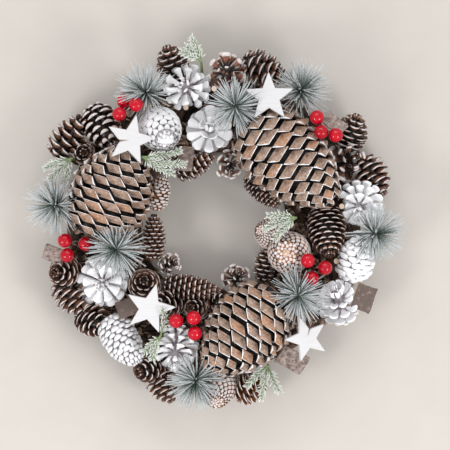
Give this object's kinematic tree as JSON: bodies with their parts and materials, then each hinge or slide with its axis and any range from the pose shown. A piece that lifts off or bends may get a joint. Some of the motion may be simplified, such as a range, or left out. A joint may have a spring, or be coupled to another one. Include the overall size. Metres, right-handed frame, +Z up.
{
  "type": "pinecone wreath",
  "caption": "Round wreath of natural and white-painted pine cones with frosted needle picks, red berries, bark and white wooden stars on a twig ring",
  "frame": {"origin": "middle of the wreath's outline, on the flat underside of the ring that it rests on", "axes": "+Z up out of the wreath's front, +Y towards the top of the wreath, +X to its right"},
  "size_m": [0.359, 0.3595, 0.1018],
  "materials": {
    "twig": "rough bark",
    "brown_cone": "matt, tips brushed white",
    "dark_cone": "matt, edges brushed white",
    "white_cone": "chalky white paint",
    "net_cone": "matt, shields brushed white",
    "needle": "frosted",
    "leaf": "frosted",
    "berry": "glossy",
    "star": "matt white paint",
    "bark": "rough"
  },
  "bodies": {
    "root": {"twig_ring": "twig", "large_cone_left": "brown_cone", "large_cone_right": "brown_cone", "large_cone_bottom": "brown_cone", "white_cone_upper": "white_cone", "white_cone_top": "white_cone", "white_cone_left": "white_cone", "white_cone_bottom": "white_cone", "white_cone_right": "white_cone", "white_cone_closed": "white_cone", "white_cone_lower_right": "white_cone", "white_cone_lower_left": "white_cone", "white_net_cone": "white_cone", "net_cones_right": "net_cone", "net_cone_bottom": "net_cone", "net_cone_inner_left": "net_cone", "brown_cone_right": "dark_cone", "brown_cones_top": "dark_cone", "brown_cone_far_top": "dark_cone", "brown_cone_upper_left": "dark_cone", "brown_cones_left": "dark_cone", "brown_cones_upper_right": "dark_cone", "brown_cone_inner_right": "dark_cone", "brown_cone_hole_right": "dark_cone", "brown_cones_inner_top": "dark_cone", "brown_cones_inner_left": "dark_cone", "brown_cone_inner_bottom": "dark_cone", "brown_cones_under_star": "dark_cone", "brown_cones_hole_bottom": "dark_cone", "brown_cones_bottom": "dark_cone", "brown_cones_lower_left": "dark_cone", "needle_pick_top_left": "needle", "needle_pick_top": "needle", "needle_pick_top_right": "needle", "needle_pick_far_left": "needle", "needle_pick_left": "needle", "needle_pick_far_right": "needle", "needle_pick_lower_right": "needle", "needle_pick_bottom": "needle", "sprig_top": "leaf", "sprig_left": "leaf", "sprig_inner_top": "leaf", "sprig_right": "leaf", "sprig_bottom_left": "leaf", "sprig_bottom": "leaf", "berries_top_left": "berry", "berries_right": "berry", "berries_left": "berry", "berries_lower_right": "berry", "berries_bottom": "berry", "star_top": "star", "star_left": "star", "star_lower_left": "star", "star_lower_right": "star", "bark_upper_right": "bark", "bark_far_left": "bark", "bark_inner_top": "bark", "bark_lower_left": "bark", "bark_right": "bark", "bark_bottom": "bark"}
  },
  "joints": []
}
